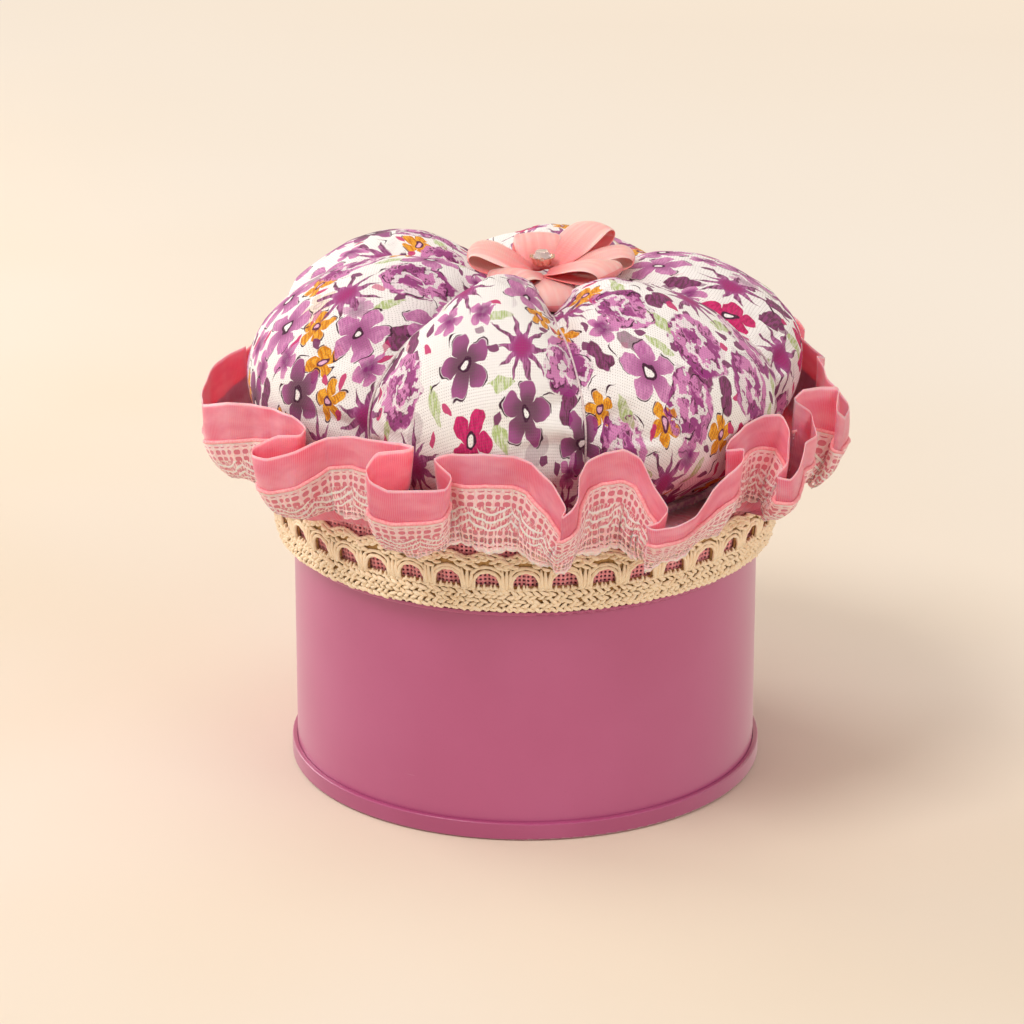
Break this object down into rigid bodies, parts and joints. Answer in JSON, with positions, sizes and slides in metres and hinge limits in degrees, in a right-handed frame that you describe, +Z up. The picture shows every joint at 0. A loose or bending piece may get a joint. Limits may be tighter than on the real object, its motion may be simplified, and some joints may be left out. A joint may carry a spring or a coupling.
{
  "type": "pincushion box",
  "caption": "Round metal box whose lift-off lid carries a segmented stuffed pincushion, a gathered ribbon and lace ruffle, a crochet trim and a ribbon flower.",
  "frame": {"origin": "centre of the base seam's foot ring, on the surface the box stands on", "axes": "+Z up through the lid and cushion, -Y the side seen in the picture, +X to that view's right"},
  "size_m": [0.1165, 0.1201, 0.0995],
  "materials": {
    "tin_paint": "satin orchid-pink enamel on tinplate",
    "crochet_cotton": "matt cream cotton yarn",
    "pink_lace": "soft pink netting lace",
    "pink_satin": "ribbed pink satin ribbon",
    "sewing_thread": "matt sewing thread",
    "disc_card": "plain card",
    "printed_cotton": "plain weave cotton with a small scattered floral print",
    "fibre_fill": "fibre filling",
    "felt_backing": "pink felt",
    "flower_satin": "pale coral satin ribbon",
    "stud_metal": "polished pale gold metal",
    "stud_glass": "clear faceted glass"
  },
  "bodies": {
    "tin": {"tin_wall": "tin_paint", "tin_base": "tin_paint"},
    "lid": {"lid_shell": "tin_paint", "crochet_trim": "crochet_cotton", "lace_footing": "pink_lace", "ruffle_satin": "pink_satin", "ruffle_lace": "pink_lace", "gathering_thread": "sewing_thread", "cushion_disc": "disc_card", "cushion_cover": "printed_cotton", "cushion_stuffing": "fibre_fill", "segment_threads": "sewing_thread", "flower_backing": "felt_backing", "flower_petal_1": "flower_satin", "flower_petal_2": "flower_satin", "flower_petal_3": "flower_satin", "flower_petal_4": "flower_satin", "flower_petal_5": "flower_satin", "flower_petal_6": "flower_satin", "flower_petal_7": "flower_satin", "stud_cup": "stud_metal", "stud_stone": "stud_glass"}
  },
  "joints": [
    {"name": "lid_lift", "type": "slide", "parent": "tin", "child": "lid", "axis": [0, 0, 1], "range_m": [0, 0.06]}
  ]
}
